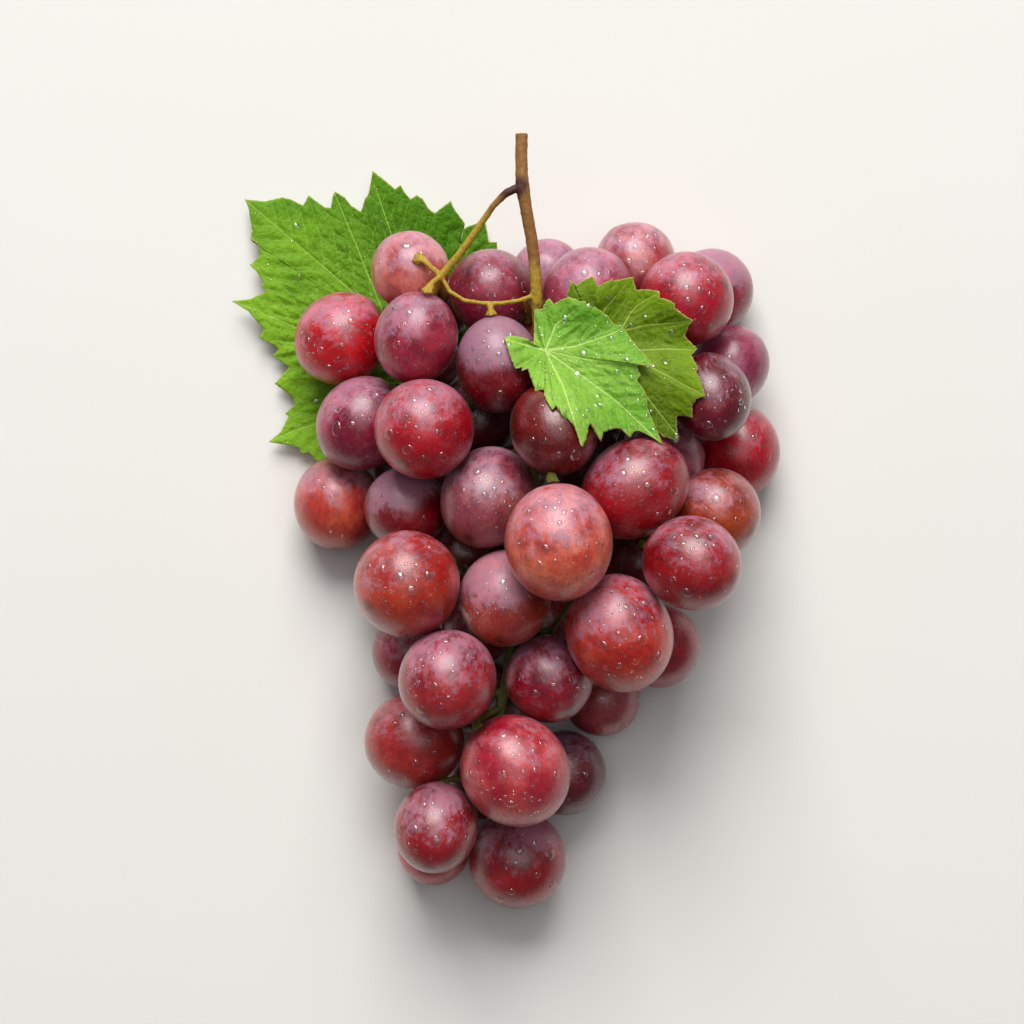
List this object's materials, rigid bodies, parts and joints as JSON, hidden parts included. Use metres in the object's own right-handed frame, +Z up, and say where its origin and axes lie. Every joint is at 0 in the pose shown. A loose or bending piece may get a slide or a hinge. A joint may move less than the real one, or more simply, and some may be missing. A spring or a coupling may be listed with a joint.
{
  "type": "bunch of grapes",
  "caption": "Bunch of round red table grapes on a branched stem with vine leaves, lying on its side, wide at the stem end and tapering to the tip.",
  "frame": {"origin": "middle of the bunch's bounding box in plan, on the surface it lies on", "axes": "+Z up from the surface the bunch lies on; +Y along the bunch from its tip to the cut end of the stem; +X to the right seen from above with the stem end away"},
  "size_m": [0.1358, 0.187, 0.0669],
  "materials": {
    "berry_skin": "waxy red to purple grape skin with pale bloom",
    "stem_bark": "dull brown to olive stem",
    "leaf_blade": "satin green leaf"
  },
  "bodies": {
    "root": {"berry_shoulder_1": "berry_skin", "berry_shoulder_2": "berry_skin", "berry_shoulder_3": "berry_skin", "berry_shoulder_4": "berry_skin", "berry_shoulder_5": "berry_skin", "berry_shoulder_6": "berry_skin", "berry_right_shoulder_1": "berry_skin", "berry_right_shoulder_2": "berry_skin", "berry_right_shoulder_3": "berry_skin", "berry_right_shoulder_4": "berry_skin", "berry_right_shoulder_5": "berry_skin", "berry_right_wing_1": "berry_skin", "berry_right_wing_2": "berry_skin", "berry_right_wing_3": "berry_skin", "berry_right_wing_4": "berry_skin", "berry_right_wing_5": "berry_skin", "berry_right_wing_6": "berry_skin", "berry_left_wing_1": "berry_skin", "berry_left_wing_2": "berry_skin", "berry_left_wing_3": "berry_skin", "berry_left_wing_4": "berry_skin", "berry_left_wing_5": "berry_skin", "berry_left_wing_6": "berry_skin", "berry_left_wing_7": "berry_skin", "berry_middle_1": "berry_skin", "berry_middle_2": "berry_skin", "berry_middle_3": "berry_skin", "berry_middle_4": "berry_skin", "berry_middle_5": "berry_skin", "berry_middle_6": "berry_skin", "berry_middle_7": "berry_skin", "berry_middle_8": "berry_skin", "berry_right_flank_1": "berry_skin", "berry_right_flank_2": "berry_skin", "berry_right_flank_3": "berry_skin", "berry_right_flank_4": "berry_skin", "berry_left_flank_1": "berry_skin", "berry_left_flank_2": "berry_skin", "berry_left_flank_3": "berry_skin", "berry_left_flank_4": "berry_skin", "berry_left_flank_5": "berry_skin", "berry_right_hip_1": "berry_skin", "berry_right_hip_2": "berry_skin", "berry_right_hip_3": "berry_skin", "berry_right_hip_4": "berry_skin", "berry_right_hip_5": "berry_skin", "berry_left_hip_1": "berry_skin", "berry_left_hip_2": "berry_skin", "berry_left_hip_3": "berry_skin", "berry_left_hip_4": "berry_skin", "berry_tip_1": "berry_skin", "berry_tip_2": "berry_skin", "berry_tip_3": "berry_skin", "berry_tip_4": "berry_skin", "berry_tip_5": "berry_skin", "berry_tip_6": "berry_skin", "stem": "stem_bark", "leaf_back": "leaf_blade", "leaf_right": "leaf_blade", "leaf_front": "leaf_blade"}
  },
  "joints": []
}
